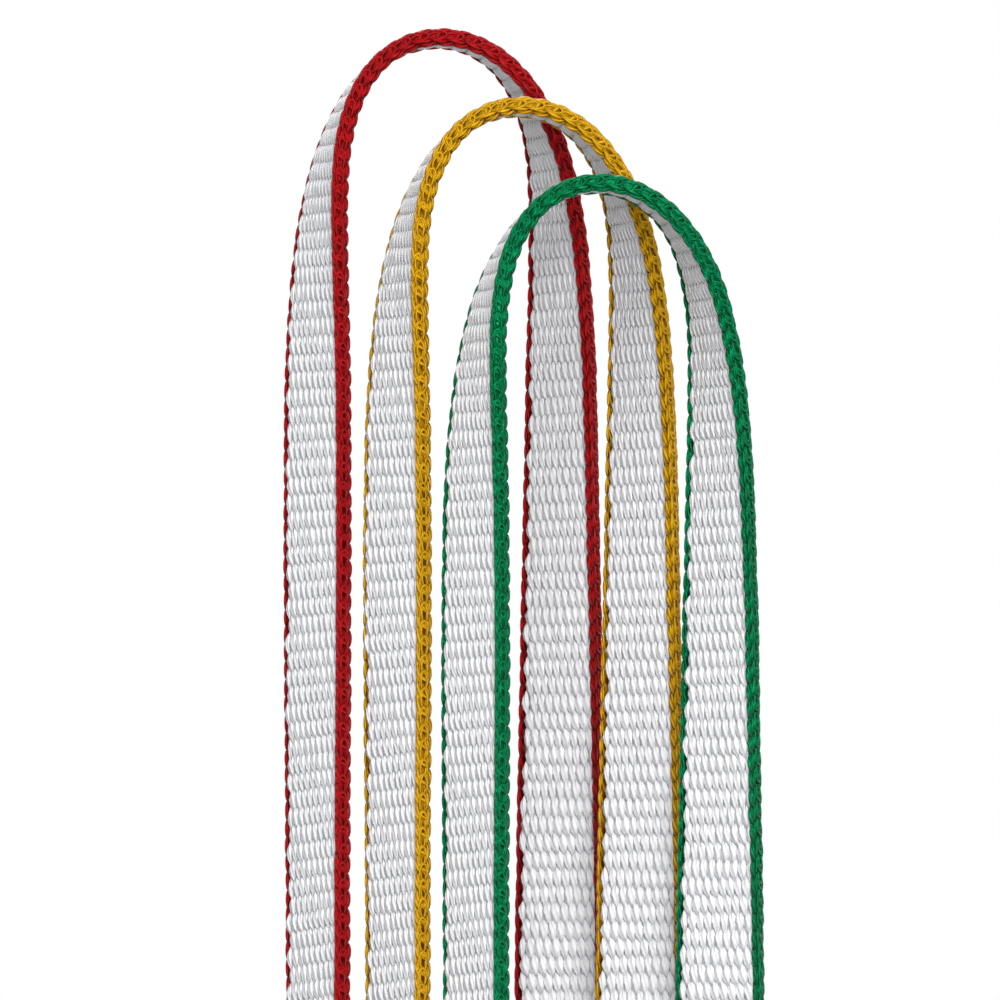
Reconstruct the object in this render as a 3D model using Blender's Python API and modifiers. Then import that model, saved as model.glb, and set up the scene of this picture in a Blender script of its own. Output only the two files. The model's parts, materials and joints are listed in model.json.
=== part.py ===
"""Three sewn climbing slings of polyethylene tape, hanging side by side by their top bights.

Each sling is one narrow woven tape with a white ground and a coloured selvedge down each edge.
A loop runs from its top bight down the right limb, round the bottom bight and up the left limb,
where the tape's two ends lap over each other and bar tacks sew them into a loop.
Its ribs stay level while the limbs turn, so the tape shows its outer face on the left limb and
its inner face on the right one. +Z is up, -Y is the side of the front selvedges, and the origin
is the middle of the red sling's top bight, on the face that bears on a carabiner.
"""

import math

import bmesh
import bpy
import numpy as np
from mathutils import Matrix, Vector

MM = 0.001

# Tape: the ground, and the two selvedges that bind its edges
TAPE_WIDTH = 10.0 * MM
TAPE_THICKNESS = 1.5 * MM
SELVEDGE_WIDTH = 1.0 * MM
SELVEDGE_THICKNESS = 1.6 * MM
GROUND_CHAMFER = 0.25 * MM
SELVEDGE_ROUND = 0.35 * MM

# Loop: its length is the usual one, measured inside the pulled-out sling from bight to bight.
# A bight's slope goes from level to upright over a few of its eases.
SLING_LENGTH = 240.0 * MM
TOP_BIGHT_EASE = 13.5 * MM
BOTTOM_BIGHT_EASE = 17.0 * MM
ARCH_SHARE = 6.6

# How the tape turns about the vertical as it leaves a bight and runs along the limbs
SHOULDER_TURN = math.radians(37.5)
SHOULDER_TURN_LENGTH = 24.5 * MM
SHOULDER_TURN_SHIFT = -1.2 * MM
RIGHT_LIMB_TURN = math.radians(26.0)
LEFT_LIMB_TURN = math.radians(-6.0)
LIMB_TURN_START = 25.0 * MM

# Sewn lap of the tape's two ends, low on the left limb
LAP_LENGTH = 52.0 * MM
LAP_ABOVE_BOTTOM = 57.5 * MM
LAP_EASE = 12.0 * MM
LAP_END_MARGIN = 6.0 * MM

# Bar tacks: a pad of stitches on each face of the lap, and the core of threads between the pads
TACK_COUNT = 6
TACK_LENGTH = 2.2 * MM
TACK_SIDE_MARGIN = 0.2 * MM
TACK_PAD_THICKNESS = 0.5 * MM
TACK_CORE_LENGTH = 0.8 * MM
TACK_CORE_INSET = 0.8 * MM
PAD_ROUND_SHARE = 1 / 3

# Row: each sling hangs in front of the one behind it, further to the right and lower
YELLOW_SIDE_STEP = 7.6 * MM
YELLOW_DROP = 7.4 * MM
GREEN_SIDE_STEP = 7.4 * MM
GREEN_DROP = 8.2 * MM
ROW_CLEARANCE = 0.05 * MM

# Gap left between pieces that touch on the real sling, and how far a cutter runs past its cut
SEAT_GAP = 0.3 * MM
CUT_OVERRUN = 1.0 * MM

# Facets: the flat one in each bight's middle, then the most bend and the longest step of the others
BIGHT_FACET = 2.4 * MM
FACET_BEND = math.radians(12.5)
FACET_STEP = 9.0 * MM
LAP_FACET_STEP = 3.0 * MM
PATH_SAMPLES = 1201

# Sizes that follow from those above
HALF_LOOP = SLING_LENGTH + TAPE_THICKNESS
LOOP_LENGTH = 2 * HALF_LOOP
LIMB_TURN_LENGTH = HALF_LOOP - 2 * LIMB_TURN_START
GROUND_WIDTH = TAPE_WIDTH - 2 * (SELVEDGE_WIDTH + SEAT_GAP)
LAYER_PITCH = SELVEDGE_THICKNESS + SEAT_GAP
LAP_START = HALF_LOOP + LAP_ABOVE_BOTTOM
STRIP_LENGTH = LOOP_LENGTH + LAP_LENGTH
TACK_PITCH = (LAP_LENGTH - 2 * LAP_END_MARGIN) / (TACK_COUNT - 1)
TACK_WIDTH = GROUND_WIDTH - 2 * TACK_SIDE_MARGIN
TACK_CORE_WIDTH = TACK_WIDTH - 2 * TACK_CORE_INSET
# A bight's edge clears the limb behind it however the section of that limb turns.
ROW_PITCH = (TAPE_WIDTH + math.hypot(TAPE_WIDTH, SELVEDGE_THICKNESS)) / 2 + ROW_CLEARANCE

GROUND_COLOUR = (0.82, 0.82, 0.83, 1.0)
RED = (0.42, 0.012, 0.02, 1.0)
YELLOW = (0.72, 0.33, 0.006, 1.0)
GREEN = (0.006, 0.16, 0.058, 1.0)
FIBRE_ROUGHNESS = 0.6

# Each sling's name, its edge colour and its step from the sling behind it
SLINGS = (
    ("red", RED, (0.0, 0.0, 0.0)),
    ("yellow", YELLOW, (YELLOW_SIDE_STEP, -ROW_PITCH, -YELLOW_DROP)),
    ("green", GREEN, (GREEN_SIDE_STEP, -ROW_PITCH, -GREEN_DROP)),
)


def smooth(x):
    """An ease from 0 to 1 with level ends."""
    x = np.clip(x, 0.0, 1.0)
    return x * x * (3 - 2 * x)


def heading(s):
    """The tape's turn about the vertical at a distance from the top bight's middle.

    The distance is negative down the left limb and positive down the right one.
    """
    shoulder = SHOULDER_TURN * (1 - np.exp(-(((s - SHOULDER_TURN_SHIFT) / SHOULDER_TURN_LENGTH) ** 2)))
    along = np.clip((np.abs(s) - LIMB_TURN_START) / LIMB_TURN_LENGTH, 0.0, 1.0)
    return shoulder + np.where(s > 0, RIGHT_LIMB_TURN, LEFT_LIMB_TURN) * np.sin(np.pi * along) ** 2


def arch(ease, from_top):
    """Centre line over a bight, whose slope eases from level in the middle to upright at the ends.

    from_top turns a distance from this bight's middle into one from the top bight's middle.
    """
    s = np.linspace(-ARCH_SHARE * ease / 2, ARCH_SHARE * ease / 2, PATH_SAMPLES)
    slope = -math.pi / 2 * np.tanh(s / ease)
    turn = heading(from_top(s))
    level = np.cos(slope)
    direction = np.stack([level * np.cos(turn), level * np.sin(turn), np.sin(slope)], axis=1)
    steps = (direction[1:] + direction[:-1]) / 2 * (s[1] - s[0])
    path = np.concatenate([np.zeros((1, 3)), np.cumsum(steps, axis=0)])
    return path - path[PATH_SAMPLES // 2], turn


def limb(top, bottom, from_s, to_s):
    """Centre line of a limb between two arches' ends: evenly down, easing sideways as it goes."""
    t = np.linspace(0.0, 1.0, PATH_SAMPLES)
    share = np.stack([smooth(t), smooth(t), t], axis=1)
    return top + (bottom - top) * share, heading(from_s + (to_s - from_s) * t)


def loop_path():
    """Centre line of one loop from the top bight's middle: places, distances along it and turns."""
    limb_from = ARCH_SHARE * TOP_BIGHT_EASE / 2
    limb_to = HALF_LOOP - ARCH_SHARE * BOTTOM_BIGHT_EASE / 2
    top, top_turn = arch(TOP_BIGHT_EASE, lambda s: s)
    bottom, bottom_turn = arch(BOTTOM_BIGHT_EASE, lambda s: np.where(s > 0, HALF_LOOP, -HALF_LOOP) - s)
    # The bottom bight is upside down, under the top one, at the depth that uses up the tape.
    bottom = bottom * (1, 1, -1)
    between = (top[0] + top[-1] - bottom[0] - bottom[-1]) / 2
    bottom = bottom + between - (0, 0, limb_to - limb_from)
    right, right_turn = limb(top[-1], bottom[-1], limb_from, limb_to)
    left, left_turn = limb(top[0], bottom[0], -limb_from, -limb_to)
    half = PATH_SAMPLES // 2
    path = np.concatenate([top[half:], right[1:], bottom[::-1][1:], left[::-1][1:], top[1 : half + 1]])
    turn = np.concatenate(
        [top_turn[half:], right_turn[1:], bottom_turn[::-1][1:], left_turn[::-1][1:], top_turn[1 : half + 1]]
    )
    along = np.concatenate([[0.0], np.cumsum(np.linalg.norm(np.diff(path, axis=0), axis=1))])
    return path, along * (LOOP_LENGTH / along[-1]), turn


PATH, ALONG, TURN = loop_path()


def on_path(q):
    """Places on the loop's centre line at distances q along it, round and round."""
    q = np.mod(q, LOOP_LENGTH)
    return np.stack([np.interp(q, ALONG, PATH[:, axis]) for axis in range(3)], axis=1)


def frame_at(q):
    """Centre, forward, across and outward vectors of the tape at distances q round the loop."""
    step = LOOP_LENGTH / len(ALONG)
    forward = on_path(q + step) - on_path(q - step)
    forward /= np.linalg.norm(forward, axis=1)[:, None]
    turn = np.interp(np.mod(q, LOOP_LENGTH), ALONG, TURN)
    across = np.stack([-np.sin(turn), np.cos(turn), np.zeros_like(turn)], axis=1)
    across -= (across * forward).sum(axis=1)[:, None] * forward
    across /= np.linalg.norm(across, axis=1)[:, None]
    return on_path(q), forward, across, np.cross(forward, across)


def layer_offset(s):
    """How far the strip lies outside the centre line: first as the lap's inner layer, last as its outer."""
    inner = 1 - smooth((s - LAP_LENGTH - SEAT_GAP) / LAP_EASE)
    outer = smooth((s - LOOP_LENGTH + SEAT_GAP) / LAP_EASE + 1)
    return (outer - inner) * LAYER_PITCH / 2


def facet_edges():
    """Distances along the strip of its facets' edges, closer where it bends or eases into the lap.

    The middle of each bight is one flat facet, where a carabiner bears.
    """
    top_middle = LOOP_LENGTH - LAP_START
    ends = [0.0]
    for middle in (top_middle, top_middle + HALF_LOOP):
        ends += [middle - BIGHT_FACET / 2, middle + BIGHT_FACET / 2]
    ends.append(STRIP_LENGTH)
    edges = []
    for start, end in zip(ends[0::2], ends[1::2]):
        s = np.linspace(start, end, PATH_SAMPLES)
        _, forward, _, _ = frame_at(LAP_START + s)
        bend = np.linalg.norm(np.diff(forward, axis=0), axis=1)
        longest = np.where(np.diff(layer_offset(s)) != 0, LAP_FACET_STEP, FACET_STEP)
        count = np.concatenate([[0.0], np.cumsum(np.maximum(bend / FACET_BEND, np.diff(s) / longest))])
        edges.append(np.interp(np.linspace(0.0, count[-1], math.ceil(count[-1]) + 1), count, s))
    return np.concatenate(edges)


FACET_EDGES = facet_edges()


def fibre(name, colour):
    """The plain finish of the fibre in one colour."""
    material = bpy.data.materials.new(name)
    material.use_nodes = True
    shader = material.node_tree.nodes["Principled BSDF"]
    shader.inputs["Base Color"].default_value = colour
    shader.inputs["Roughness"].default_value = FIBRE_ROUGHNESS
    shader.inputs["Metallic"].default_value = 0.0
    material.diffuse_color = colour
    return material


def add_object(name, mesh, collection, material=None):
    """Puts a mesh in a collection under a name, with a material if it has one."""
    thing = bpy.data.objects.new(name, mesh)
    collection.objects.link(thing)
    if material:
        mesh.materials.clear()
        mesh.materials.append(material)
    return thing


def bmesh_to_mesh(name, form):
    """Ends a bmesh as a named mesh."""
    mesh = bpy.data.meshes.new(name)
    form.to_mesh(mesh)
    form.free()
    return mesh


def round_edges(thing, width, wall):
    """Bevels an object's sharp edges, by no more than a third of its wall."""
    bevel = thing.modifiers.new("Rounding", "BEVEL")
    bevel.width = min(width, wall / 3)
    bevel.segments = 1
    bevel.limit_method = "ANGLE"
    bevel.angle_limit = math.radians(60)


def band(name, from_edge, to_edge, thickness, rounding, parts, material):
    """The strip of the tape between two distances across it, from one end of the tape to the other.

    A grid one facet wide is laid along the loop, thickened both ways, and its long edges rounded.
    """
    grid = bmesh.new()
    last = len(FACET_EDGES) - 1
    bmesh.ops.create_grid(grid, x_segments=last, y_segments=1, size=1)
    column = np.array([round((vertex.co.x + 1) / 2 * last) for vertex in grid.verts])
    edge = np.array([to_edge if vertex.co.y > 0 else from_edge for vertex in grid.verts])
    s = FACET_EDGES[column]
    centre, _, across, out = frame_at(LAP_START + s)
    places = centre + across * edge[:, None] + out * layer_offset(s)[:, None]
    for vertex, place in zip(grid.verts, places):
        vertex.co = place
    strip = add_object(name, bmesh_to_mesh(name, grid), parts, material)
    solid = strip.modifiers.new("Thickness", "SOLIDIFY")
    solid.thickness = thickness
    solid.offset = 0
    solid.use_even_offset = True
    round_edges(strip, rounding, thickness)
    return strip


def box(form, size, place):
    """Adds a box of a size to a bmesh, placed by a matrix."""
    bmesh.ops.create_cube(form, size=1, matrix=place @ Matrix.Diagonal((*size, 1)))


def tack_places():
    """The place of each bar tack on the lap: x runs along the tape, y across it and z out of it."""
    places = []
    for k in range(TACK_COUNT):
        q = LAP_START + LAP_END_MARGIN + k * TACK_PITCH
        centre, forward, across, out = (Vector(v[0]) for v in frame_at(np.array([q])))
        turn = Matrix((forward, across, out)).transposed().to_4x4()
        places.append(Matrix.Translation(centre) @ turn)
    return places


def tack_mesh(name, cutters):
    """Stitching of one bar tack: a pad on each face of the lap, joined through it by the core."""
    face = (LAYER_PITCH + TAPE_THICKNESS) / 2 + SEAT_GAP
    height = face + TACK_PAD_THICKNESS / 2
    pad_form = bmesh.new()
    for side in (-1, 1):
        pad = (TACK_LENGTH, TACK_WIDTH, TACK_PAD_THICKNESS)
        box(pad_form, pad, Matrix.Translation((0, 0, side * height)))
    pads = add_object(name + "_pads", bmesh_to_mesh(name + "_pads", pad_form), cutters)
    round_edges(pads, PAD_ROUND_SHARE * TACK_PAD_THICKNESS, TACK_PAD_THICKNESS)
    core_form = bmesh.new()
    box(core_form, (TACK_CORE_LENGTH, TACK_CORE_WIDTH, 2 * height), Matrix())
    stitches = add_object(name + "_core", bmesh_to_mesh(name + "_core", core_form), cutters)
    join = stitches.modifiers.new("Pads", "BOOLEAN")
    join.operation = "UNION"
    join.object = pads
    depsgraph = bpy.context.evaluated_depsgraph_get()
    mesh = bpy.data.meshes.new_from_object(stitches.evaluated_get(depsgraph))
    mesh.name = name
    for helper in (stitches, pads):
        bpy.data.objects.remove(helper)
    return mesh


def stitch_slots(name, cutters):
    """Cutter of the slots that the tacks' cores pass through, in both layers of the lap."""
    depth = LAYER_PITCH + TAPE_THICKNESS + 2 * CUT_OVERRUN
    slot = (TACK_CORE_LENGTH + 2 * SEAT_GAP, TACK_CORE_WIDTH + 2 * SEAT_GAP, depth)
    form = bmesh.new()
    for place in tack_places():
        box(form, slot, place)
    cutter = add_object(name, bmesh_to_mesh(name, form), cutters)
    cutter.hide_render = True
    cutter.display_type = "WIRE"
    return cutter


def ground_webbing(colour, parts, cutters):
    """The white middle of the tape, with the slots of its stitches. Returns it and its cutter."""
    edge = GROUND_WIDTH / 2
    finish = fibre(colour + "_ground", GROUND_COLOUR)
    ground = band(colour + "_ground_webbing", -edge, edge, TAPE_THICKNESS, GROUND_CHAMFER, parts, finish)
    slots = stitch_slots(colour + "_stitch_slots", cutters)
    cut = ground.modifiers.new("Stitch slots", "BOOLEAN")
    cut.operation = "DIFFERENCE"
    cut.object = slots
    return [ground, slots]


def selvedges(colour, edge_colour, parts):
    """The two coloured edges of the tape."""
    inner, outer = TAPE_WIDTH / 2 - SELVEDGE_WIDTH, TAPE_WIDTH / 2
    edges = []
    for side, low, high in (("front", -outer, -inner), ("back", inner, outer)):
        name = f"{colour}_{side}_selvedge"
        finish = fibre(name, edge_colour)
        edges.append(band(name, low, high, SELVEDGE_THICKNESS, SELVEDGE_ROUND, parts, finish))
    return edges


def bar_tacks(colour, edge_colour, parts, cutters):
    """The bar tacks of the lap, in thread of the edges' colour."""
    stitches = tack_mesh(colour + "_bar_tack", cutters)
    thread = fibre(colour + "_thread", edge_colour)
    tacks = []
    for number, place in enumerate(tack_places(), 1):
        tack = add_object(f"{colour}_bar_tack_{number}", stitches, parts, thread)
        tack.matrix_world = place
        tacks.append(tack)
    return tacks


def sling(colour, edge_colour, place, parts, cutters):
    """One sling, its pieces carried by an empty at its place in the row."""
    anchor = bpy.data.objects.new(colour + "_sling", None)
    anchor.location = place
    parts.objects.link(anchor)
    pieces = ground_webbing(colour, parts, cutters)
    pieces += selvedges(colour, edge_colour, parts)
    pieces += bar_tacks(colour, edge_colour, parts, cutters)
    for piece in pieces:
        piece.parent = anchor


def first_place():
    """The place that puts the middle of the red top bight's inner facet at the origin."""
    facet_ends = on_path(np.array([-BIGHT_FACET / 2, BIGHT_FACET / 2]))
    return Vector((0, 0, TAPE_THICKNESS / 2)) - Vector(facet_ends.mean(axis=0))


def build():
    """Clears the scene and hangs the three slings in their row."""
    for thing in list(bpy.data.objects):
        bpy.data.objects.remove(thing)
    parts = bpy.data.collections.new("climbing_slings")
    cutters = bpy.data.collections.new("cutters")
    for collection in (parts, cutters):
        bpy.context.scene.collection.children.link(collection)
    place = first_place()
    for colour, edge_colour, step in SLINGS:
        place = place + Vector(step)
        sling(colour, edge_colour, place, parts, cutters)


build()
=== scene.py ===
"""Three woven climbing slings hanging in a row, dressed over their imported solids."""

import json
import math

import bpy
import numpy as np
from mathutils import Matrix, Vector


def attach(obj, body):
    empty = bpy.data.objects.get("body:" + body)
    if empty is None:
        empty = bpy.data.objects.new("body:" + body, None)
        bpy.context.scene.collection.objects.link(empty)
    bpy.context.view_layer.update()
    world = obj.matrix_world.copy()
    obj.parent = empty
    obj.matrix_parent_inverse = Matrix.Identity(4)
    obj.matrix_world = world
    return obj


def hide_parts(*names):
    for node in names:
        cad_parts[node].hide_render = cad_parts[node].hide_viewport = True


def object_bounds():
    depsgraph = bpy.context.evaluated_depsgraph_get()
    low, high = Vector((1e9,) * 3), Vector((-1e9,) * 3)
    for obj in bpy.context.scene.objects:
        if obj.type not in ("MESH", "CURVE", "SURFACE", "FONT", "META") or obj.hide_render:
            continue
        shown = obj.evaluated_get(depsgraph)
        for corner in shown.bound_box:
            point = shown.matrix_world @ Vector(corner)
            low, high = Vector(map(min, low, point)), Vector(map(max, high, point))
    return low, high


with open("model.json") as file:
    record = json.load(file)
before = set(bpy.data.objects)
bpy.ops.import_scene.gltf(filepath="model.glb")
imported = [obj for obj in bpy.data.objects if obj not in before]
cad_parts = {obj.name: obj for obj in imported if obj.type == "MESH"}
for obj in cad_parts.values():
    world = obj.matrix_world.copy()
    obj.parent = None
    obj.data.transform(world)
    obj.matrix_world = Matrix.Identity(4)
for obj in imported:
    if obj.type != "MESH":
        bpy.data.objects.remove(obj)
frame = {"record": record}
cad_low, cad_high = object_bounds()

# Tape of one sling: a narrow polyethylene web that runs round a loop, hung over a bar by its top bight.
# Its ribs stay level while the limbs turn, and its two ends lap on the left limb.
MM = 0.001
TAPE_THICKNESS = 1.5 * MM
SELVEDGE_THICKNESS = 1.6 * MM
LAYER_GAP = 0.3 * MM
SLING_LENGTH = 240.0 * MM
TOP_BIGHT_EASE = 13.5 * MM
BOTTOM_BIGHT_EASE = 17.0 * MM
ARCH_SHARE = 6.6
SHOULDER_TURN = math.radians(37.5)
SHOULDER_TURN_LENGTH = 24.5 * MM
SHOULDER_TURN_SHIFT = -1.2 * MM
RIGHT_LIMB_TURN = math.radians(26.0)
LEFT_LIMB_TURN = math.radians(-6.0)
LIMB_TURN_START = 25.0 * MM
LAP_LENGTH = 52.0 * MM
LAP_ABOVE_BOTTOM = 57.5 * MM
LAP_EASE = 12.0 * MM
BIGHT_FACET = 2.4 * MM
PATH_SAMPLES = 1201

HALF_LOOP = SLING_LENGTH + TAPE_THICKNESS
LOOP_LENGTH = 2 * HALF_LOOP
LIMB_TURN_LENGTH = HALF_LOOP - 2 * LIMB_TURN_START
LAYER_PITCH = SELVEDGE_THICKNESS + LAYER_GAP
LAP_START = HALF_LOOP + LAP_ABOVE_BOTTOM
STRIP_LENGTH = LOOP_LENGTH + LAP_LENGTH


def smooth(x):
    """An ease from 0 to 1 with level ends: 3x squared less 2x cubed."""
    x = np.clip(x, 0.0, 1.0)
    return x * x * (3 - 2 * x)


def heading(s):
    """The tape's turn about the vertical, s from the top bight's middle, negative on the left limb.

    A shoulder of one less a Gaussian of s, and on each limb a hump of sine squared.
    """
    shoulder = SHOULDER_TURN * (1 - np.exp(-(((s - SHOULDER_TURN_SHIFT) / SHOULDER_TURN_LENGTH) ** 2)))
    along = np.clip((np.abs(s) - LIMB_TURN_START) / LIMB_TURN_LENGTH, 0.0, 1.0)
    return shoulder + np.where(s > 0, RIGHT_LIMB_TURN, LEFT_LIMB_TURN) * np.sin(np.pi * along) ** 2


def arch(ease, from_top):
    """Centre line of a bight: the slope is a quarter turn times the tanh of distance over ease."""
    s = np.linspace(-ARCH_SHARE * ease / 2, ARCH_SHARE * ease / 2, PATH_SAMPLES)
    slope = -math.pi / 2 * np.tanh(s / ease)
    turn = heading(from_top(s))
    level = np.cos(slope)
    direction = np.stack([level * np.cos(turn), level * np.sin(turn), np.sin(slope)], axis=1)
    steps = (direction[1:] + direction[:-1]) / 2 * (s[1] - s[0])
    path = np.concatenate([np.zeros((1, 3)), np.cumsum(steps, axis=0)])
    return path - path[PATH_SAMPLES // 2], turn


def limb(top, bottom, from_s, to_s):
    """Centre line of a limb: evenly down from one arch's end to the other's, easing sideways."""
    t = np.linspace(0.0, 1.0, PATH_SAMPLES)
    share = np.stack([smooth(t), smooth(t), t], axis=1)
    return top + (bottom - top) * share, heading(from_s + (to_s - from_s) * t)


def loop_path():
    """Centre line of one loop: over the top bight, down the right limb, back up the left one."""
    limb_from = ARCH_SHARE * TOP_BIGHT_EASE / 2
    limb_to = HALF_LOOP - ARCH_SHARE * BOTTOM_BIGHT_EASE / 2
    top, top_turn = arch(TOP_BIGHT_EASE, lambda s: s)
    bottom, bottom_turn = arch(BOTTOM_BIGHT_EASE, lambda s: np.where(s > 0, HALF_LOOP, -HALF_LOOP) - s)
    bottom = bottom * (1, 1, -1)
    between = (top[0] + top[-1] - bottom[0] - bottom[-1]) / 2
    bottom = bottom + between - (0, 0, limb_to - limb_from)
    right, right_turn = limb(top[-1], bottom[-1], limb_from, limb_to)
    left, left_turn = limb(top[0], bottom[0], -limb_from, -limb_to)
    half = PATH_SAMPLES // 2

    def joined(top, right, bottom, left):
        """The four stretches end to end, from the top bight's middle round to it again."""
        return np.concatenate([top[half:], right[1:], bottom[::-1][1:], left[::-1][1:], top[1 : half + 1]])

    path = joined(top, right, bottom, left)
    turn = joined(top_turn, right_turn, bottom_turn, left_turn)
    along = np.concatenate([[0.0], np.cumsum(np.linalg.norm(np.diff(path, axis=0), axis=1))])
    return path, along * (LOOP_LENGTH / along[-1]), turn


PATH, ALONG, TURN = loop_path()


def on_path(q):
    """Places on the loop's centre line at distances q along it, round and round."""
    q = np.mod(q, LOOP_LENGTH)
    return np.stack([np.interp(q, ALONG, PATH[:, axis]) for axis in range(3)], axis=-1)


# The middle of the top bight's inner facet, from which each sling is placed by its mount
FACET_ENDS = np.array([-BIGHT_FACET / 2, BIGHT_FACET / 2])
FACET_MIDDLE = on_path(FACET_ENDS).mean(axis=0) - (0, 0, TAPE_THICKNESS / 2)
MOUNTS = {mount["name"]: np.array(mount["pos_m"]) for mount in frame["record"]["mounts"]}


def from_centre(colour, q, across, out_by):
    """Points of a sling from their distance round the loop, across it and out of its centre line.

    The frame there is the loop's direction, the level line across it and their cross product.
    """
    step = LOOP_LENGTH / len(ALONG)
    forward = on_path(q + step) - on_path(q - step)
    forward /= np.linalg.norm(forward, axis=-1, keepdims=True)
    turn = np.interp(np.mod(q, LOOP_LENGTH), ALONG, TURN)
    side = np.stack([-np.sin(turn), np.cos(turn), np.zeros_like(turn)], axis=-1)
    side -= (side * forward).sum(axis=-1, keepdims=True) * forward
    side /= np.linalg.norm(side, axis=-1, keepdims=True)
    out = np.cross(forward, side)
    place = MOUNTS[f"{colour}_top_bight"] - FACET_MIDDLE
    return on_path(q) + side * across[..., None] + out * out_by[..., None] + place


def layer_offset(s):
    """How far the tape lies outside the centre line: in under the lap first, out over it last."""
    inner = 1 - smooth((s - LAP_LENGTH - LAYER_GAP) / LAP_EASE)
    outer = smooth((s - LOOP_LENGTH + LAYER_GAP) / LAP_EASE + 1)
    return (outer - inner) * LAYER_PITCH / 2


# Beat of the weaving: one rib for each pick, and never quite even.
# Each rib lies a little early or late and a little askew, and the edges run a little in and out.
COLOURS = ("red", "yellow", "green")
RIB_PITCH = 1.75 * MM
RIB_LATENESS = 0.05 * MM
RIB_SKEW = 0.008
EDGE_WANDER = 0.008
RIBS = int(STRIP_LENGTH / RIB_PITCH)
END_INSET = (STRIP_LENGTH - RIBS * RIB_PITCH) / 2
BEAT_SEED = 5
BEAT = {
    colour: np.random.default_rng(seed).normal(0.0, 1.0, (3, RIBS + 1))
    * np.array([[RIB_LATENESS], [RIB_SKEW], [EDGE_WANDER]])
    for seed, colour in enumerate(COLOURS, BEAT_SEED)
}


def on_tape(colour, s, across, height):
    """Points of a sling from their distance along the tape, across it and out from its middle."""
    rib = (s - END_INSET) / RIB_PITCH
    late, skew, wander = (np.interp(rib, np.arange(RIBS + 1), row) for row in BEAT[colour])
    q = LAP_START + s + late + skew * across
    return from_centre(colour, q, across * (1 + wander), height + layer_offset(s))


# Strands: glossy filament yarn, laid up of plies, swept as tubes along its own path.
# A tube lies on a grid of rings, and its two ends are closed by flat caps.
def stations(rings_per_rib, strands):
    """Distances along the tape at a number of rings a rib, a row for each strand, and in ribs."""
    rib = np.linspace(0.0, RIBS, RIBS * rings_per_rib + 1)
    rib = np.broadcast_to(rib, (strands, len(rib)))
    return END_INSET + rib * RIB_PITCH, rib


def per_rib(rng, rib, amount):
    """Seeded values for each strand at each rib, eased from one rib to the next."""
    values = rng.normal(0.0, amount, (rib.shape[0], RIBS + 2))
    low = np.floor(rib).astype(int)
    share = smooth(rib - low)
    row = np.arange(rib.shape[0])[:, None]
    return values[row, low] * (1 - share) + values[row, low + 1] * share


def sweep(path, out, half_width, half_height, sides):
    """Tube surfaces in tape measures, from paths of places along, across and out of the tape.

    An ellipse stands square to each path. Its half height points out, made square to the path,
    and its half width points along out cross forward.
    """
    forward = np.gradient(path, axis=1)
    aside = np.cross(out, forward)
    aside /= np.linalg.norm(aside, axis=-1, keepdims=True)
    rise = np.cross(forward, aside)
    rise /= np.linalg.norm(rise, axis=-1, keepdims=True)
    f = np.linspace(0.0, 2 * math.pi, sides, endpoint=False)
    wide = np.broadcast_to(half_width, path.shape[:2])[..., None] * np.cos(f)
    high = np.broadcast_to(half_height, path.shape[:2])[..., None] * np.sin(f)
    grid = path[:, :, None] + wide[..., None] * aside[:, :, None] + high[..., None] * rise[:, :, None]
    return grid[..., 0], grid[..., 1], grid[..., 2]


def tube_faces(count, rings, sides, first):
    """Corners and sizes of the faces of tubes: quads round each, and a cap on each end.

    Corner numbers start at first. Also tells which corners close a ring at its full turn.
    """
    tube = first + (np.arange(count) * rings * sides)[:, None, None]
    ring = (np.arange(rings - 1) * sides)[None, :, None]
    side = np.arange(sides)[None, None, :]
    after = (side + 1) % sides
    here = tube + ring
    quad = (here + side, here + after, here + sides + after, here + sides + side)
    quads = np.stack(quad, axis=-1).reshape(-1, 4)
    closes = np.zeros(quads.shape, dtype=bool)
    closes[np.arange(len(quads)) % sides == sides - 1, 1:3] = True
    start_caps = (tube[:, 0] + np.arange(sides)[None, ::-1]).ravel()
    end_caps = (tube[:, 0] + (rings - 1) * sides + np.arange(sides)[None, :]).ravel()
    corners = np.concatenate([quads.ravel(), start_caps, end_caps])
    sizes = np.concatenate([np.full(len(quads), 4), np.full(2 * count, sides)])
    return corners, sizes, np.concatenate([closes.ravel(), np.zeros(2 * count * sides, dtype=bool)])


# Where the UV of each tube starts beyond the one before it, round it and along it
STRAND_STAGGER = 0.377
STRAND_SHIFT = 13.1 * MM


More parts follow.
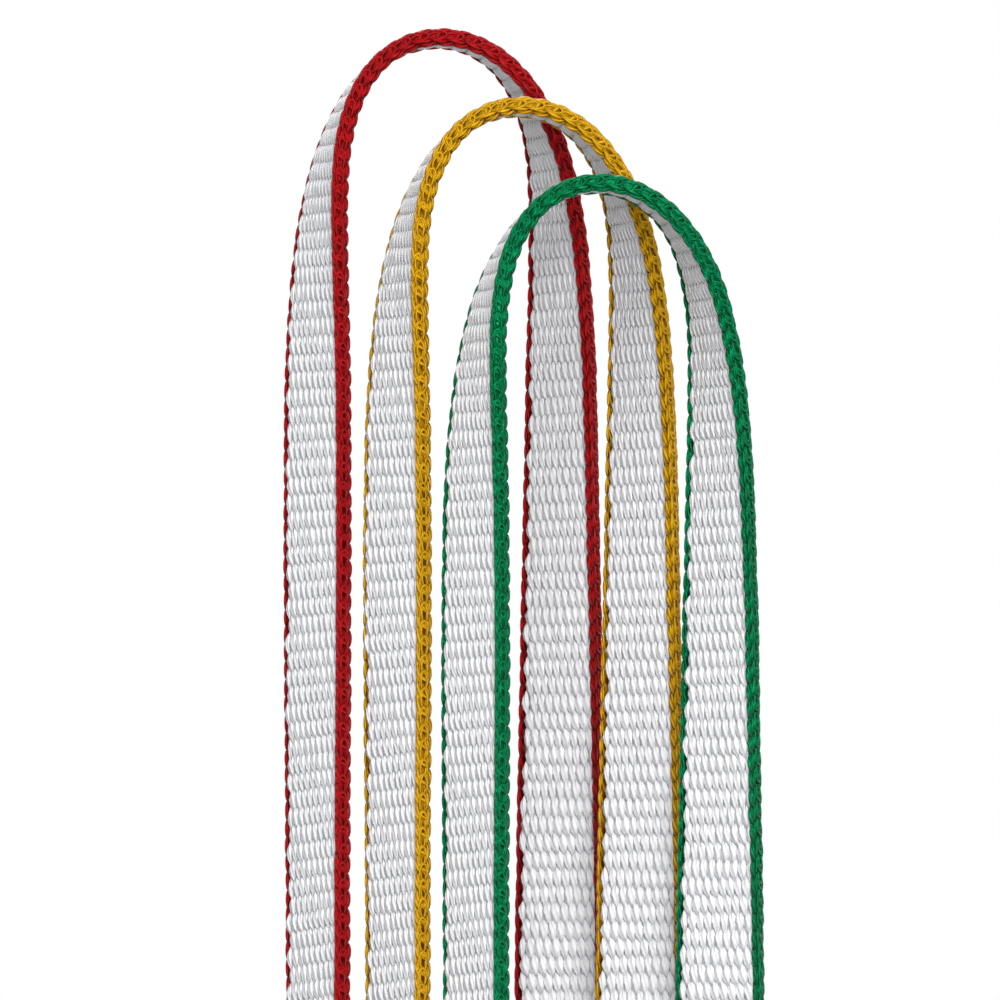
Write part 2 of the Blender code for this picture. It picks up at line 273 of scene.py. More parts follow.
def tube_mesh(name, parts):
    """Makes a mesh of groups of tubes, each its points, distance along and shade.

    Points are shaped (tubes, rings, sides, 3), the others (tubes, rings). The UV runs round each
    tube and along it, and starts elsewhere on each tube. Shade is painted shade: 0 at the bottom of the
    weave, 1 on top.
    """
    places, shades, corners, sizes, uvs = [], [], [], [], []
    first = 0
    for number, (points, along, shade) in enumerate(parts):
        count, rings, sides, _ = points.shape
        part_corners, part_sizes, closes = tube_faces(count, rings, sides, first)
        local = part_corners - first
        tube = local // (rings * sides) + number
        u = np.where(closes, 1.0, (local % sides) / sides) + tube * STRAND_STAGGER
        v = np.broadcast_to(along[..., None], points.shape[:3]).ravel()[local] + tube * STRAND_SHIFT
        places.append(points.reshape(-1, 3))
        shades.append(np.broadcast_to(shade[..., None], points.shape[:3]).ravel())
        corners.append(part_corners)
        sizes.append(part_sizes)
        uvs.append(np.stack([u, v], axis=1))
        first += count * rings * sides
    places = np.concatenate(places)
    corners = np.concatenate(corners)
    sizes = np.concatenate(sizes)
    mesh = bpy.data.meshes.new(name)
    mesh.vertices.add(len(places))
    mesh.vertices.foreach_set("co", places.astype(np.float32).ravel())
    mesh.loops.add(len(corners))
    mesh.loops.foreach_set("vertex_index", corners.astype(np.int32))
    mesh.polygons.add(len(sizes))
    mesh.polygons.foreach_set("loop_start", (np.cumsum(sizes) - sizes).astype(np.int32))
    mesh.polygons.foreach_set("loop_total", sizes.astype(np.int32))
    mesh.polygons.foreach_set("use_smooth", np.ones(len(sizes), dtype=bool))
    uv = mesh.uv_layers.new(name="Strand")
    uv.data.foreach_set("uv", np.concatenate(uvs).astype(np.float32).ravel())
    # The painted shade, as a point attribute
    tone = mesh.attributes.new("shade", "FLOAT", "POINT")
    tone.data.foreach_set("value", np.concatenate(shades).astype(np.float32))
    mesh.update(calc_edges=True)
    mesh.validate()
    return mesh


def dress(name, mesh, colour, material):
    """Puts a sling's piece in the scene: it rides on the sling and takes its material."""
    piece = bpy.data.objects.new(name, mesh)
    bpy.context.scene.collection.objects.link(piece)
    mesh.materials.append(material)
    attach(piece, f"{colour}_sling")
    return piece


FIBRES_ROUND = 2.0
FIBRES_ALONG = 900.0
FIBRE_DETAIL = 2.0
FIBRE_ROUGHNESS = 0.6
PLY_SHARE = 0.5
FIBRE_SHARE = 0.5
STRAND_RELIEF = 0.1 * MM


def filament_group():
    """Node group of a filament strand: its colour with painted shade in the hollows, and its relief.

    The angle round the strand plus its twist along it gives the plies, as a sine of that angle
    times their number, and the fibres, as noise on a circle drawn out along the twist.
    """
    group = bpy.data.node_groups.new("Filament strand", "ShaderNodeTree")
    face = group.interface
    for label in ("Colour", "Painted shade colour"):
        face.new_socket(label, in_out="INPUT", socket_type="NodeSocketColor")
    for label in ("Plies", "Turns per metre", "Relief", "Contrast"):
        face.new_socket(label, in_out="INPUT", socket_type="NodeSocketFloat")
    face.new_socket("Colour", in_out="OUTPUT", socket_type="NodeSocketColor")
    face.new_socket("Normal", in_out="OUTPUT", socket_type="NodeSocketVector")
    nodes, links = group.nodes, group.links
    given = nodes.new("NodeGroupInput").outputs
    result = nodes.new("NodeGroupOutput").inputs

    def maths(operation, *values):
        """A Math node of an operation on numbers and sockets, and its output."""
        node = nodes.new("ShaderNodeMath")
        node.operation = operation
        for place, value in zip(node.inputs, values):
            if isinstance(value, (int, float)):
                place.default_value = value
            else:
                links.new(value, place)
        return node.outputs[0]

    uv = nodes.new("ShaderNodeUVMap")
    uv.uv_map = "Strand"
    split = nodes.new("ShaderNodeSeparateXYZ")
    links.new(uv.outputs["UV"], split.inputs["Vector"])
    turns = maths("MULTIPLY_ADD", split.outputs["Y"], given["Turns per metre"], split.outputs["X"])
    angle = maths("MULTIPLY", turns, 2 * math.pi)
    ply = maths("SINE", maths("MULTIPLY", angle, given["Plies"]))
    circle = nodes.new("ShaderNodeCombineXYZ")
    links.new(maths("MULTIPLY", maths("COSINE", angle), FIBRES_ROUND), circle.inputs["X"])
    links.new(maths("MULTIPLY", maths("SINE", angle), FIBRES_ROUND), circle.inputs["Y"])
    links.new(maths("MULTIPLY", split.outputs["Y"], FIBRES_ALONG), circle.inputs["Z"])
    fibres = nodes.new("ShaderNodeTexNoise")
    fibres.inputs["Scale"].default_value = 1.0
    fibres.inputs["Detail"].default_value = FIBRE_DETAIL
    fibres.inputs["Roughness"].default_value = FIBRE_ROUGHNESS
    links.new(circle.outputs["Vector"], fibres.inputs["Vector"])
    fibre = maths("MULTIPLY_ADD", fibres.outputs["Fac"], 2 * FIBRE_SHARE, -FIBRE_SHARE)
    relief = maths("MULTIPLY_ADD", ply, PLY_SHARE, fibre)
    bump = nodes.new("ShaderNodeBump")
    bump.inputs["Distance"].default_value = STRAND_RELIEF
    links.new(given["Relief"], bump.inputs["Strength"])
    links.new(relief, bump.inputs["Height"])
    # Painted shade: the shade attribute mixes in the painted shade colour deep in the weave
    shade = nodes.new("ShaderNodeAttribute")
    shade.attribute_name = "shade"
    # Painted shade in the grooves between plies, with random fibre tone, darkens the colour with the relief
    groove_shade_and_fibre_tone = maths("MULTIPLY", relief, given["Contrast"])
    painted_shade_mix = nodes.new("ShaderNodeClamp")
    links.new(maths("ADD", shade.outputs["Fac"], groove_shade_and_fibre_tone), painted_shade_mix.inputs["Value"])
    mix = nodes.new("ShaderNodeMix")
    mix.data_type = "RGBA"
    links.new(painted_shade_mix.outputs["Result"], mix.inputs["Factor"])
    links.new(given["Painted shade colour"], mix.inputs["A"])
    links.new(given["Colour"], mix.inputs["B"])
    links.new(mix.outputs["Result"], result["Colour"])
    links.new(bump.outputs["Normal"], result["Normal"])
    return group


FILAMENT = filament_group()


def strand_material(name, colour, painted_shade_colour, plies, turns, relief, contrast, roughness, gloss):
    """A strand's finish: the filament group's colour and relief, under a gloss of its own tint."""
    material = bpy.data.materials.new(name)
    material.use_nodes = True
    nodes, links = material.node_tree.nodes, material.node_tree.links
    shader = nodes["Principled BSDF"]
    strand = nodes.new("ShaderNodeGroup")
    strand.node_tree = FILAMENT
    strand.inputs["Colour"].default_value = (*colour, 1.0)
    # The painted shade colour, mixed in by the shade attribute where the weave is deep
    strand.inputs["Painted shade colour"].default_value = (*painted_shade_colour, 1.0)
    strand.inputs["Plies"].default_value = plies
    strand.inputs["Turns per metre"].default_value = turns
    strand.inputs["Relief"].default_value = relief
    strand.inputs["Contrast"].default_value = contrast
    links.new(strand.outputs["Colour"], shader.inputs["Base Color"])
    links.new(strand.outputs["Normal"], shader.inputs["Normal"])
    shader.inputs["Roughness"].default_value = roughness
    shader.inputs["Specular IOR Level"].default_value = gloss
    shader.inputs["Specular Tint"].default_value = (*(np.array(colour) / max(colour)), 1.0)
    return material


# Ground: white polyethylene warp yarns side by side, each passing over one pick and under the next.
# Neighbours go opposite ways, so every pick shows a row of pointed floats and the tape is ribbed.
GROUND_YARNS = 18
YARN_PITCH = 0.475 * MM
FLOAT_HEIGHT = 0.46 * MM
CROWN_SHARE = 0.08
RIB_SWAY = 0.1 * MM
YARN_SWAY = 0.035 * MM
FLOAT_HALF_WIDTH = 0.7 * MM
CROSSING_HALF_WIDTH = 0.15 * MM
OUTER_YARN_SHARE = 0.65
FLOAT_HALF_THICKNESS = 0.21 * MM
CROSSING_HALF_THICKNESS = 0.54 * MM
FLOAT_FLATNESS = 1.1
TIP_SHARPNESS = 0.8
HEIGHT_UNEVENNESS = 0.05
WIDTH_UNEVENNESS = 0.06
# Painted shade of the warp: its value at a crossing, its gain towards the floats, and a random tone
CROSSING_SHADE = 0.1
FLOAT_SHADE_GAIN = 0.75
SHADE_UNEVENNESS = 0.07
GROUND_RINGS_PER_RIB = 4
YARN_SIDES = 8
OUTWARD = np.array([0.0, 0.0, 1.0])
GROUND_SEED = 11
# The white yarn's colour, then its painted shade colour for the hollows of the weave
WHITE = (0.805, 0.805, 0.82)
WHITE_PAINTED_SHADE = (0.66, 0.665, 0.68)


def warp(rng):
    """Points of the ground's warp yarns: height is the tanh of a cosine over two picks.

    A yarn is widest and thinnest on its floats, and narrow and thick where it passes between
    picks, by a power of that cosine. The floats stand lower towards the tape's edges.
    """
    numbers = np.arange(GROUND_YARNS)[:, None]
    s, rib = stations(GROUND_RINGS_PER_RIB, GROUND_YARNS)
    places = (numbers - (GROUND_YARNS - 1) / 2) * YARN_PITCH
    swing = np.cos(math.pi * (rib + numbers))
    rise = np.tanh(FLOAT_FLATNESS * swing) / math.tanh(FLOAT_FLATNESS)
    crown = 1 - CROWN_SHARE * (places / (GROUND_YARNS / 2 * YARN_PITCH)) ** 2
    height = FLOAT_HEIGHT * crown * rise * (1 + per_rib(rng, rib, HEIGHT_UNEVENNESS))
    spread = np.abs(swing) ** TIP_SHARPNESS
    half_width = CROSSING_HALF_WIDTH + (FLOAT_HALF_WIDTH - CROSSING_HALF_WIDTH) * spread
    outermost = (numbers == 0) | (numbers == GROUND_YARNS - 1)
    unevenness = 1 + per_rib(rng, rib, WIDTH_UNEVENNESS)
    half_width = half_width * np.where(outermost, OUTER_YARN_SHARE, 1.0) * unevenness
    half_height = CROSSING_HALF_THICKNESS + (FLOAT_HALF_THICKNESS - CROSSING_HALF_THICKNESS) * spread
    across = places + per_rib(rng, rib[:1], RIB_SWAY) + per_rib(rng, rib, YARN_SWAY)
    # Painted shade: darkest where a yarn dives between picks and lightest on its floats, with a random tone
    shade = CROSSING_SHADE + FLOAT_SHADE_GAIN * np.abs(rise) + per_rib(rng, rib, SHADE_UNEVENNESS)
    path = np.stack([s, across, height], axis=-1)
    return sweep(path, OUTWARD, half_width, half_height, YARN_SIDES), s, np.clip(shade, 0.0, 1.0)


white_strand = strand_material(
    "White filament strand", WHITE, WHITE_PAINTED_SHADE,
    plies=6.0, turns=110.0, relief=0.7, contrast=0.45, roughness=0.38, gloss=0.3)

for seed, colour in enumerate(COLOURS, GROUND_SEED):
    grid, along, shade = warp(np.random.default_rng(seed))
    points = on_tape(colour, *grid)
    for start, half in enumerate(("even", "odd")):
        name = f"{colour}_ground_warp_{half}"
        mesh = tube_mesh(name, [(points[start::2], along[start::2], shade[start::2])])
        yarns = dress(name, mesh, colour, white_strand)
        if half == "even":
            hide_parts(f"{colour}_ground_webbing")

# Weft: one flat white pick for each rib, straight across inside the tape, from edge to edge.
# It holds the warp's floats out on both faces and closes the sight through the tape.
PICK_HALF_LENGTH = 4.4 * MM
PICK_HALF_WIDTH = 0.86 * MM
PICK_HALF_HEIGHT = 0.3 * MM
PICK_RINGS = np.array([-1.0, -0.96, 0.0, 0.96, 1.0])
PICK_SIDES = 6
# The picks are painted dark in shade, as they show only deep between the floats
PICK_SHADE = 0.2
BAR_LEVEL = 1.02
BAR_ROUNDING_POWER = 8
BAR_TIP = 0.04


def crossbars(colour, s, ends, half_width, half_height, rings, sides):
    """Points of bars across the tape at distances s, each a tube of elliptical section.

    Its rings lie at shares from one end to the other. Its half sizes shrink at the ends by the
    square root of about one less the eighth power of that share.
    """
    middle = (ends[0] + ends[1]) / 2
    reach = (ends[1] - ends[0]) / 2
    across = np.broadcast_to(middle + reach * rings, (len(s), len(rings)))
    taper = np.clip(BAR_LEVEL - rings ** BAR_ROUNDING_POWER, BAR_TIP, 1.0) ** 0.5
    path = np.stack([s[:, None] + 0 * across, across, 0 * across], axis=-1)
    return on_tape(colour, *sweep(path, OUTWARD, half_width * taper, half_height * taper, sides)), across


for colour in COLOURS:
    picks = END_INSET + np.arange(RIBS + 1) * RIB_PITCH
    points, along = crossbars(
        colour, picks, (-PICK_HALF_LENGTH, PICK_HALF_LENGTH), PICK_HALF_WIDTH, PICK_HALF_HEIGHT,
        PICK_RINGS, PICK_SIDES)
    weft = tube_mesh(f"{colour}_weft", [(points, along, np.full(along.shape, PICK_SHADE))])
    dress(f"{colour}_weft", weft, colour, white_strand)

# Front selvedge: the edge where the loom's needle turns, closed by a knitted chain of coloured yarn.
# The chain's loops stand in a line along the edge, and slanted stitches bind both faces beside it.
# Each edge yarn's colour, then its painted shade colour for the hollows
EDGE_COLOURS = {
    "red": ((0.32, 0.008, 0.010), (0.03, 0.001, 0.001)),
    "yellow": ((0.585, 0.315, 0.009), (0.06, 0.014, 0.001)),
    "green": ((0.0015, 0.102, 0.036), (0.0004, 0.012, 0.005)),
}
# An edge's side of the tape, its middle across it, its half size across and out, and its height
FRONT_EDGE = (-1, 4.45 * MM, 0.33 * MM, 0.75 * MM, 0.0)
FRONT_SEED = 31
STITCH_RINGS = 7
LOOP_RINGS = 11
EDGE_SIDES = 6
CORE_SIDES = 8
# How far yarns of the edges stray: along in ribs, round the edge in degrees, and in their thickness
LATENESS_IN_RIBS = 0.03
STRAYING = 3.0
SWELLING = 0.06
STITCH_DIP = 0.5
STITCH_THINNING = 0.45
STITCH_END_PAINTED_SHADE = 0.9
LOOP_PLACE = 18.0
LOOP_SPREAD = 31.0
LOOP_LENGTH_IN_RIBS = 1.12
LOOP_OPENING = 165.0
LOOP_HALF = 0.19 * MM
LOOP_STAND = 1.02
LOOP_TILT = 0.12
LOOP_DIP = 0.45
LOOP_DIP_POWER = 5
LOOP_THINNING = 0.3
LOOP_SHADE = 0.95
LOOP_END_PAINTED_SHADE = 0.85


def on_edge(edge, s, angle, share):
    """Paths on an edge, an ellipse about its core: at an angle from level and a share of its size.

    Also gives the ellipse's outward direction there.
    """
    side, middle, reach, rise, level = edge
    c, z = np.cos(angle), np.sin(angle)
    path = np.stack([s, side * (middle + reach * c * share), level + rise * z * share], axis=-1)
    return path, np.stack([0 * s, side * c / reach, z / rise], axis=-1) * MM


def stitch_row(edge, place, slant, length, half, lead, bright, rng):
    """One stitch a rib, slanted on the edge: it dips by a fourth power and thins by a square.

    Place and slant are in degrees round the edge, length and lead in ribs. Bright is the painted shade at
    its middle, which darkens by a square towards its dipping ends.
    """
    number = np.arange(1, RIBS - 1)[:, None]
    u = np.linspace(-1.0, 1.0, STITCH_RINGS)[None, :]
    late = rng.normal(0.0, LATENESS_IN_RIBS, number.shape)
    s = END_INSET + (number + 0.5 + lead + length / 2 * u + late) * RIB_PITCH
    angle = np.radians(place + slant * u + rng.normal(0.0, STRAYING, number.shape))
    path, out = on_edge(edge, s, angle, 1 - STITCH_DIP * u ** 4)
    thin = (1 - STITCH_THINNING * u ** 2) * (1 + rng.normal(0.0, SWELLING, number.shape))
    grid = sweep(path, out, half[0] * MM * thin, half[1] * MM * thin, EDGE_SIDES)
    return grid, s, np.broadcast_to(bright * (1 - STITCH_END_PAINTED_SHADE * u ** 2), s.shape)


def loop_row(edge, rng):
    """The chain: one open loop a rib, most of an ellipse laid round the edge.

    Its closed end lies over the ends of the next, which dip inwards by the fifth power and are painted
    darker in shade as they go.
    """
    number = np.arange(1, RIBS - 1)[:, None]
    turn = np.radians(np.linspace(-LOOP_OPENING, LOOP_OPENING, LOOP_RINGS))[None, :]
    late = rng.normal(0.0, LATENESS_IN_RIBS, number.shape)
    s = END_INSET + (number + 0.5 + late + LOOP_LENGTH_IN_RIBS / 2 * np.cos(turn)) * RIB_PITCH
    angle = np.radians(LOOP_PLACE + rng.normal(0.0, STRAYING, number.shape) + LOOP_SPREAD * np.sin(turn))
    inwards = np.abs(turn / turn[0, -1]) ** LOOP_DIP_POWER
    path, out = on_edge(edge, s, angle, LOOP_STAND + LOOP_TILT * np.cos(turn) - LOOP_DIP * inwards)
    half = LOOP_HALF * (1 + rng.normal(0.0, SWELLING, number.shape) - LOOP_THINNING * inwards)
    shade = np.broadcast_to(LOOP_SHADE - LOOP_END_PAINTED_SHADE * inwards, s.shape)
    return sweep(path, out, half, half, EDGE_SIDES), s, shade


def core_row(edge, share):
    """The core yarns of an edge, straight along it: a plain tube in full painted shade, which darkens the
    edge's holes.
    """
    side, middle, reach, rise, level = edge
    s, _ = stations(1, 1)
    path = np.stack([s, side * middle + 0 * s, level + 0 * s], axis=-1)
    return sweep(path, OUTWARD, reach * share, rise * share, CORE_SIDES), s, 0 * s


def edge_yarns(colour, place, rows):
    """Makes the yarns of a sling's front or back edge, which stand for its solid."""
    name = f"{colour}_{place}_edge_yarns"
    mesh = tube_mesh(name, [(on_tape(colour, *grid), along, shade) for grid, along, shade in rows])
    yarns = dress(name, mesh, colour, edge_strands[colour])
    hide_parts(f"{colour}_{place}_selvedge")


# Rows of stitches: place and slant in degrees, length in ribs, half size along the edge's face and
# out of it in millimetres, lead in ribs, and painted shade, lower on the two rows below the middle, which
# face down
FRONT_STITCHES = (
    (118.0, -14.0, 1.2, (0.24, 0.19), 0.0, 0.95),
    (82.0, 14.0, 1.15, (0.27, 0.2), 0.5, 0.95),
    (17.0, 46.0, 0.4, (0.22, 0.21), 0.2, 1.0),
    (-24.0, -18.0, 1.1, (0.27, 0.2), 0.25, 0.8),
    (-66.0, 12.0, 1.15, (0.27, 0.2), 0.5, 0.75),
)
FRONT_CORE_SHARE = 1.0

edge_strands = {}
for seed, colour in enumerate(COLOURS, FRONT_SEED):
    rng = np.random.default_rng(seed)
    # The yarn's colour and its painted shade colour
    bright, painted_shade_colour = EDGE_COLOURS[colour]
    edge_strands[colour] = strand_material(
        f"{colour} filament strand", bright, painted_shade_colour,
        plies=3.0, turns=200.0, relief=0.9, contrast=0.8, roughness=0.27, gloss=0.8)
    rows = [stitch_row(FRONT_EDGE, *row, rng) for row in FRONT_STITCHES]
    rows += [loop_row(FRONT_EDGE, rng), core_row(FRONT_EDGE, FRONT_CORE_SHARE)]
    edge_yarns(colour, "front", rows)

# Back selvedge: the plain edge where the weft turns round coloured strands that weave with the ground.
# It is thinner than the front one and stands lower than the white beside it.
BACK_EDGE = (1, 4.55 * MM, 0.26 * MM, 0.5 * MM, -0.08 * MM)
BACK_SEED = 41
BACK_STITCHES = (
    (62.0, 12.0, 1.25, (0.22, 0.19), 0.0, 0.95),
    (0.0, -16.0, 1.25, (0.26, 0.19), 0.5, 0.95),
    (-62.0, 12.0, 1.25, (0.22, 0.19), 0.0, 0.95),
)
BACK_CORE_SHARE = 0.95

for seed, colour in enumerate(COLOURS, BACK_SEED):
    rng = np.random.default_rng(seed)
    rows = [stitch_row(BACK_EDGE, *row, rng) for row in BACK_STITCHES]
    rows.append(core_row(BACK_EDGE, BACK_CORE_SHARE))
    edge_yarns(colour, "back", rows)

# Sealed ends: the tape is cut with a hot knife, which melts its yarns into one hard lumpy bead.
# The bead is white over the ground, and coloured over the two edges.
SEAL_INSET = 0.42 * MM
SEAL_HALF_WIDTH = 0.36 * MM
SEAL_HALF_HEIGHT = 0.82 * MM
SEAL_SPAN = 4.42 * MM
SEAL_TIP = 5.05 * MM
SEAL_RINGS = np.linspace(-1.0, 1.0, 48)
SEAL_SIDES = 20
EDGE_SEAL_RINGS = np.linspace(-1.0, 1.0, 10)
LUMPINESS = 0.09
SEAL_SHADE = 0.8
SEAL_SEED = 51
# Finish of melted yarn, but for its gloss
MELT = {"plies": 1.0, "turns": 40.0, "relief": 0.3, "contrast": 0.3, "roughness": 0.22}


def melted(name, colour, ends, rings, material, rng):
    """Beads on both ends of the tape between two places across it, their lumps eased noise."""
    s = np.array([SEAL_INSET, STRIP_LENGTH - SEAL_INSET])
    lumps = rng.normal(0.0, LUMPINESS, (len(s), len(rings), SEAL_SIDES))
    for axis in (1, 2):
        lumps = (np.roll(lumps, 1, axis=axis) + lumps + np.roll(lumps, -1, axis=axis)) / 3
    points, along = crossbars(colour, s, ends, SEAL_HALF_WIDTH, SEAL_HALF_HEIGHT, rings, SEAL_SIDES)
    centre = points.mean(axis=2, keepdims=True)
    points = centre + (points - centre) * (1 + lumps)[..., None]
    mesh = tube_mesh(name, [(points, along, np.full(along.shape, SEAL_SHADE))])
    dress(name, mesh, colour, material)


white_melt = strand_material("Melted white polyethylene", WHITE, WHITE_PAINTED_SHADE, **MELT, gloss=0.5)
for seed, colour in enumerate(COLOURS, SEAL_SEED):
    rng = np.random.default_rng(seed)
    melt = strand_material(f"{colour} melted yarn", *EDGE_COLOURS[colour], **MELT, gloss=0.4)
    span = (-SEAL_SPAN, SEAL_SPAN)
    melted(f"{colour}_sealed_ends", colour, span, SEAL_RINGS, white_melt, rng)
    for place, ends in (("front", (-SEAL_TIP, -SEAL_SPAN)), ("back", (SEAL_SPAN, SEAL_TIP))):
        melted(f"{colour}_{place}_sealed_ends", colour, ends, EDGE_SEAL_RINGS, melt, rng)

# Bar tacks: dense zigzag stitching in coloured thread that closes the lap, on both of its faces.
# Long threads are laid across the tape first, and the zigzag's throws are packed over them.
TACK_COUNT = 6
LAP_END_MARGIN = 6.0 * MM
TACK_PITCH = (LAP_LENGTH - 2 * LAP_END_MARGIN) / (TACK_COUNT - 1)
TACK_HALF_LENGTH = 1.1 * MM
TACK_HALF_WIDTH = 3.5 * MM
THREAD_RADIUS = 0.17 * MM
THROWS = 34
THROW_RINGS = 8
LAID_THREADS = 4
LAID_RINGS = 16
THREAD_SIDES = 6
LAP_FACE = LAYER_PITCH / 2 + FLOAT_HEIGHT + FLOAT_HALF_THICKNESS
PAD_BULGE = 0.2 * MM
THREAD_PLUNGE = 0.75 * MM
PLUNGE_POWER = 8
THROW_STEP = 2 * TACK_HALF_WIDTH / THROWS
THROW_LEAN = 0.5 * THROW_STEP
THROW_LIFT = 0.25 * THREAD_RADIUS
THROW_LENGTH_STRAY = 0.05 * MM
THROW_STRAY = 0.02 * MM
LAID_PITCH = 0.42 * MM
LAID_OVERHANG = 0.25 * MM
LAID_STRAY = 0.04 * MM
LAID_DEPTH = 0.04 * MM
THREAD_SHADE = 0.85
TACK_SEED = 61


def zigzag(rng):
    """Throws of the stitch on one face: along the tape, leaning one way and back by turns.

    Each dips at both ends into its needle holes by the eighth power of its share from the middle.
    """
    share = np.sin(np.linspace(-math.pi / 2, math.pi / 2, THROW_RINGS))[None, :]
    number = np.arange(THROWS)[:, None]
    way = np.where(number % 2 == 0, 1.0, -1.0)
    along = share * (TACK_HALF_LENGTH + rng.normal(0.0, THROW_LENGTH_STRAY, (THROWS, 1)))
    across = (number + 0.5) * THROW_STEP - TACK_HALF_WIDTH + way * THROW_LEAN * share
    across = across + rng.normal(0.0, THROW_STRAY, (THROWS, 1))
    height = LAP_FACE + PAD_BULGE * (1 - share ** 2) - THREAD_PLUNGE * share ** PLUNGE_POWER
    height = height + way * THROW_LIFT
    return np.stack([along, across, height], axis=-1)


def laid(rng):
    """The threads laid across the tape under the zigzag, that dip at both ends by the same power."""
    share = np.sin(np.linspace(-math.pi / 2, math.pi / 2, LAID_RINGS))[None, :]
    place = (np.arange(LAID_THREADS) - (LAID_THREADS - 1) / 2)[:, None] * LAID_PITCH
    across = share * (TACK_HALF_WIDTH + LAID_OVERHANG) * np.ones((LAID_THREADS, 1))
    along = place + rng.normal(0.0, LAID_STRAY, (LAID_THREADS, 1)) * share
    height = LAP_FACE - LAID_DEPTH - THREAD_PLUNGE * share ** PLUNGE_POWER + 0 * place
    return np.stack([along, across, height], axis=-1)


def tack_points(colour, middle, rng):
    """Points of one bar tack's threads on both faces of the lap, each group shaped as tubes."""
    groups = []
    for make in (zigzag, laid):
        faces = []
        for face in (1, -1):
            along, across, height = sweep(make(rng), OUTWARD, THREAD_RADIUS, THREAD_RADIUS, THREAD_SIDES)
            # On the inner face the tack is turned over: height and across change sign together.
            faces.append(from_centre(colour, middle + along, across * face, height * face))
        groups.append(np.concatenate(faces))
    return groups


for seed, colour in enumerate(COLOURS, TACK_SEED):
    rng = np.random.default_rng(seed)
    thread = strand_material(
        f"{colour} sewing thread", *EDGE_COLOURS[colour],
        plies=3.0, turns=700.0, relief=0.9, contrast=0.3, roughness=0.4, gloss=0.25)
    for number in range(TACK_COUNT):
        name = f"{colour}_bar_tack_thread_{number + 1}"
        middle = LAP_START + LAP_END_MARGIN + number * TACK_PITCH
        parts = []
        for points in tack_points(colour, middle, rng):
            steps = np.linalg.norm(np.diff(points.mean(axis=2), axis=1), axis=2)
            run = np.concatenate([np.zeros((len(points), 1)), np.cumsum(steps, axis=1)], axis=1)
            parts.append((points, run, np.full(run.shape, THREAD_SHADE)))
        stitches = dress(name, tube_mesh(name, parts), colour, thread)
        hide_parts(f"{colour}_bar_tack_{number + 1}")

# Light, floor and backdrop: a soft sky, bright above and before the slings and dim behind and below,
# with two soft lamps in front of them and one behind. The background is plain white to the camera,
# and the floor is pale and keeps their shadow.
SKY_TOWARDS = Vector((0.25, -0.55, 0.8)).normalized()
SKY_BRIGHT = 0.73
SKY_DIM = 0.2
SKY_TINT = (0.97, 0.985, 1.0, 1.0)
FLOOR_GAP = 12 * MM
FLOOR_HALF = 4.0
FLOOR_WHITE = 0.9
FLOOR_BOUNCE = 0.3
FLOOR_ROUGHNESS = 0.9


def seen_ray(nodes, links):
    """The largest of Light Path's camera, glossy and transmission rays."""
    path = nodes.new("ShaderNodeLightPath")
    first = nodes.new("ShaderNodeMath")
    first.operation = "MAXIMUM"
    links.new(path.outputs["Is Camera Ray"], first.inputs[0])
    links.new(path.outputs["Is Glossy Ray"], first.inputs[1])
    second = nodes.new("ShaderNodeMath")
    second.operation = "MAXIMUM"
    links.new(first.outputs[0], second.inputs[0])
    links.new(path.outputs["Is Transmission Ray"], second.inputs[1])
    return second.outputs[0]


world = bpy.data.worlds.new("Studio")
bpy.context.scene.world = world
world.use_nodes = True
sky = world.node_tree.nodes
sky_links = world.node_tree.links
direction = sky.new("ShaderNodeTexCoord")
towards = sky.new("ShaderNodeVectorMath")
towards.operation = "DOT_PRODUCT"
towards.inputs[1].default_value = SKY_TOWARDS
sky_links.new(direction.outputs["Generated"], towards.inputs[0])
strength = sky.new("ShaderNodeMapRange")
strength.inputs["From Min"].default_value = -1.0
strength.inputs["From Max"].default_value = 1.0
strength.inputs["To Min"].default_value = SKY_DIM
strength.inputs["To Max"].default_value = SKY_BRIGHT
sky_links.new(towards.outputs["Value"], strength.inputs["Value"])
background = sky["Background"]
background.inputs["Color"].default_value = SKY_TINT
sky_links.new(strength.outputs["Result"], background.inputs["Strength"])
white_back = sky.new("ShaderNodeBackground")
white_back.inputs["Color"].default_value = (1.0, 1.0, 1.0, 1.0)
white_back.inputs["Strength"].default_value = 1.0
choose = sky.new("ShaderNodeMixShader")
sky_links.new(seen_ray(sky, sky_links), choose.inputs["Fac"])
sky_links.new(background.outputs[0], choose.inputs[1])
sky_links.new(white_back.outputs[0], choose.inputs[2])
sky_links.new(choose.outputs[0], sky["World Output"].inputs["Surface"])

floor_z = cad_low[2] - FLOOR_GAP
floor_mesh = bpy.data.meshes.new("floor")
floor_corners = [(x * FLOOR_HALF, y * FLOOR_HALF, floor_z) for x, y in ((-1, -1), (1, -1), (1, 1), (-1, 1))]
floor_mesh.from_pydata(floor_corners, [], [(0, 1, 2, 3)])
floor = bpy.data.objects.new("floor", floor_mesh)
bpy.context.scene.collection.objects.link(floor)
floor_material = bpy.data.materials.new("Pale floor")
floor_material.use_nodes = True
floor_nodes = floor_material.node_tree.nodes
floor_links = floor_material.node_tree.links
tone = floor_nodes.new("ShaderNodeMapRange")
tone.inputs["To Min"].default_value = FLOOR_BOUNCE
tone.inputs["To Max"].default_value = FLOOR_WHITE
floor_links.new(seen_ray(floor_nodes, floor_links), tone.inputs["Value"])
floor_links.new(tone.outputs["Result"], floor_nodes["Principled BSDF"].inputs["Base Color"])
floor_nodes["Principled BSDF"].inputs["Roughness"].default_value = FLOOR_ROUGHNESS
floor_nodes["Principled BSDF"].inputs["Specular IOR Level"].default_value = 0.0
floor_mesh.materials.append(floor_material)


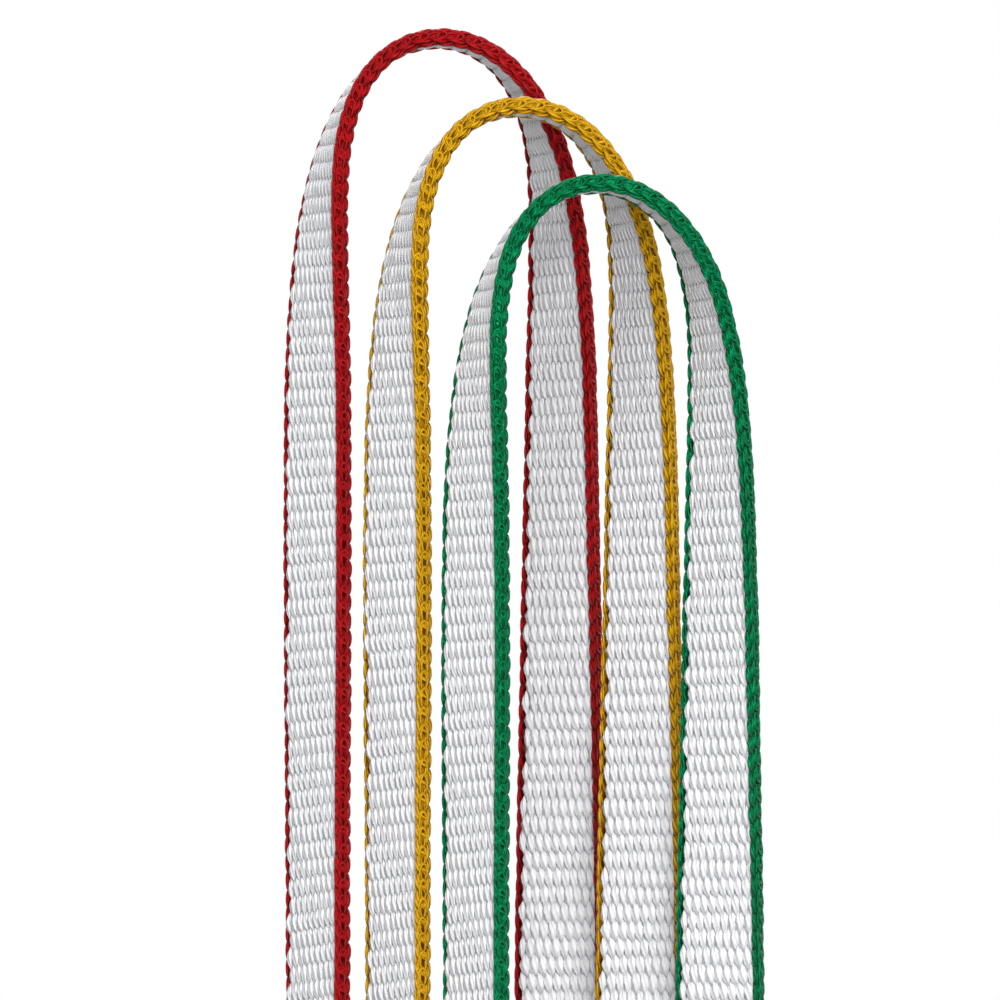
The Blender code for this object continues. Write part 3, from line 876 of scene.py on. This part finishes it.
def soft_lamp(name, azimuth, elevation, distance, size, energy):
    """A square area lamp that looks at the middle of the slings from a direction."""
    a, e = math.radians(azimuth), math.radians(elevation)
    lamp = bpy.data.lights.new(name, "AREA")
    lamp.size = size
    lamp.energy = energy
    holder = bpy.data.objects.new(name, lamp)
    away = Vector((math.sin(a) * math.cos(e), -math.cos(a) * math.cos(e), math.sin(e)))
    middle = Vector(((cad_low[k] + cad_high[k]) / 2 for k in range(3)))
    holder.location = middle + away * distance
    holder.rotation_euler = away.to_track_quat("Z", "Y").to_euler()
    bpy.context.scene.collection.objects.link(holder)


soft_lamp("key", azimuth=5.0, elevation=50.0, distance=1.3, size=0.8, energy=7.0)
soft_lamp("fill", azimuth=5.0, elevation=8.0, distance=1.5, size=0.7, energy=16.0)
soft_lamp("back", azimuth=192.0, elevation=38.0, distance=1.5, size=0.9, energy=7.0)

# Camera: the photograph's view, level with the top of the slings and a little below them.
# A long lens stands for its flat projection, and the frame is 100 mm wide.
VIEW_AZIMUTH = math.radians(-2.46)
VIEW_ELEVATION = math.radians(-2.55)
FRAME_WIDTH = 100.0 * MM
LENS = 1500.0
SENSOR = 36.0
ORIGIN_FROM_MIDDLE = (-6.10 * MM, 45.30 * MM)
ROW_MIDDLE = 10.0 * MM

back = Vector((
    math.sin(VIEW_AZIMUTH) * math.cos(VIEW_ELEVATION),
    -math.cos(VIEW_AZIMUTH) * math.cos(VIEW_ELEVATION),
    math.sin(VIEW_ELEVATION),
))
right = Vector((math.cos(VIEW_AZIMUTH), math.sin(VIEW_AZIMUTH), 0.0))
up = back.cross(right)
target = -right * ORIGIN_FROM_MIDDLE[0] - up * ORIGIN_FROM_MIDDLE[1]
lens = bpy.data.cameras.new("camera")
lens.sensor_width = SENSOR
lens.lens = LENS
lens.clip_start = 0.1
lens.clip_end = 50.0
camera = bpy.data.objects.new("camera", lens)
camera.location = target + back * (FRAME_WIDTH * LENS / SENSOR + ROW_MIDDLE)
camera.rotation_euler = Matrix((right, up, back)).transposed().to_euler()
bpy.context.scene.collection.objects.link(camera)
bpy.context.scene.camera = camera
bpy.context.scene.view_settings.view_transform = "Standard"
